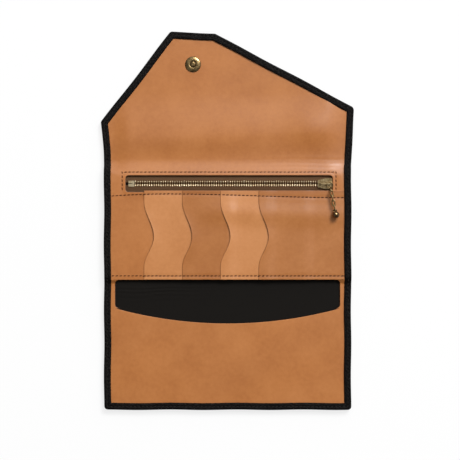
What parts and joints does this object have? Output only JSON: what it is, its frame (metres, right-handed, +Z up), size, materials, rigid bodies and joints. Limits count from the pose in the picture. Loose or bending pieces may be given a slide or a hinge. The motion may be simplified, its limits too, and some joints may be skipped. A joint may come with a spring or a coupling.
{
  "type": "long leather wallet",
  "caption": "Open long wallet in black and tan leather with a snap flap, a zip pocket with a chain and ball pull, side-entry card leaves and a wide note pocket.",
  "frame": {"origin": "on the surface the open wallet lies on, under the middle of its outline", "axes": "+X to the right along the zip, +Y towards the flap's pointed tip, +Z up out of the wallet's inside"},
  "size_m": [0.1997, 0.2984, 0.015],
  "materials": {
    "black_leather": "fine-grained black leather with a soft gloss",
    "tan_leather": "smooth vegetable-tanned leather, lightly burnished",
    "tan_leaf_light": "smooth vegetable-tanned leather, a lighter piece",
    "tan_leaf_dark": "smooth vegetable-tanned leather, a darker piece",
    "black_cloth": "matt black lining",
    "brown_tape": "woven brown zip tape",
    "brass": "antique brass, rubbed bright on its edges",
    "dark_brass": "dark antique brass"
  },
  "bodies": {
    "back": {"cover_back": "black_leather", "zip_pocket_bag": "black_cloth", "zip_tape_upper": "brown_tape", "zip_tape_lower": "brown_tape", "zip_teeth_upper": "brass", "zip_teeth_lower": "brass", "zip_bottom_stop": "brass", "card_base_panel": "tan_leather", "card_leaf_1": "tan_leaf_light", "card_leaf_2": "tan_leaf_dark", "card_leaf_3": "tan_leaf_light", "card_leaf_4": "tan_leather"},
    "lower_spine": {"cover_lower_spine": "black_leather", "bill_lining_spine": "black_cloth", "mouth_strip_left": "tan_leather", "mouth_strip_right": "tan_leather"},
    "front": {"cover_front": "black_leather", "bill_lining_front": "black_cloth", "front_pocket_panel": "tan_leather", "snap_socket": "dark_brass", "snap_rivet": "dark_brass"},
    "upper_spine": {"cover_upper_spine": "black_leather", "upper_spine_lining": "tan_leather"},
    "flap": {"cover_flap": "black_leather", "flap_lining": "tan_leather", "snap_stud": "dark_brass", "snap_cap": "dark_brass"},
    "slider": {"zip_slider": "dark_brass"},
    "ring": {"pull_ring": "brass"},
    "chain": {"pull_link_1": "brass", "pull_link_2": "brass", "pull_link_3": "brass", "pull_link_4": "brass", "pull_link_5": "brass", "pull_ball": "brass"}
  },
  "joints": [
    {"name": "front_fold", "type": "hinge", "parent": "back", "child": "lower_spine", "pos_m": [0, -0.04905, 0.0032], "axis": [-1, 0, 0], "range_deg": [0, 90]},
    {"name": "front_fold_outer", "type": "hinge", "parent": "lower_spine", "child": "front", "pos_m": [0, -0.06663, 0.0032], "axis": [-1, 0, 0], "range_deg": [0, 90]},
    {"name": "flap_fold", "type": "hinge", "parent": "back", "child": "upper_spine", "pos_m": [0, 0.04305, 0.0032], "axis": [1, 0, 0], "range_deg": [0, 90]},
    {"name": "flap_fold_outer", "type": "hinge", "parent": "upper_spine", "child": "flap", "pos_m": [0, 0.06653, 0.0032], "axis": [1, 0, 0], "range_deg": [0, 90]},
    {"name": "zip_slide", "type": "slide", "parent": "back", "child": "slider", "axis": [1, 0, 0], "range_m": [-0.1443, 0], "deforming": ["zip_teeth_upper", "zip_teeth_lower"]},
    {"name": "pull_turn", "type": "hinge", "parent": "slider", "child": "ring", "pos_m": [0.0803, 0.02925, 0.00978], "axis": [0, 0, 1], "range_deg": [-60, 5]},
    {"name": "pull_lift", "type": "hinge", "parent": "ring", "child": "chain", "pos_m": [0.08096, 0.02581, 0.00978], "axis": [0.982, 0.1891, 0], "range_deg": [-70, 0]}
  ],
  "couplings": [
    {"joint": "front_fold_outer", "follows": "front_fold", "ratio": 1},
    {"joint": "flap_fold_outer", "follows": "flap_fold", "ratio": 1}
  ]
}
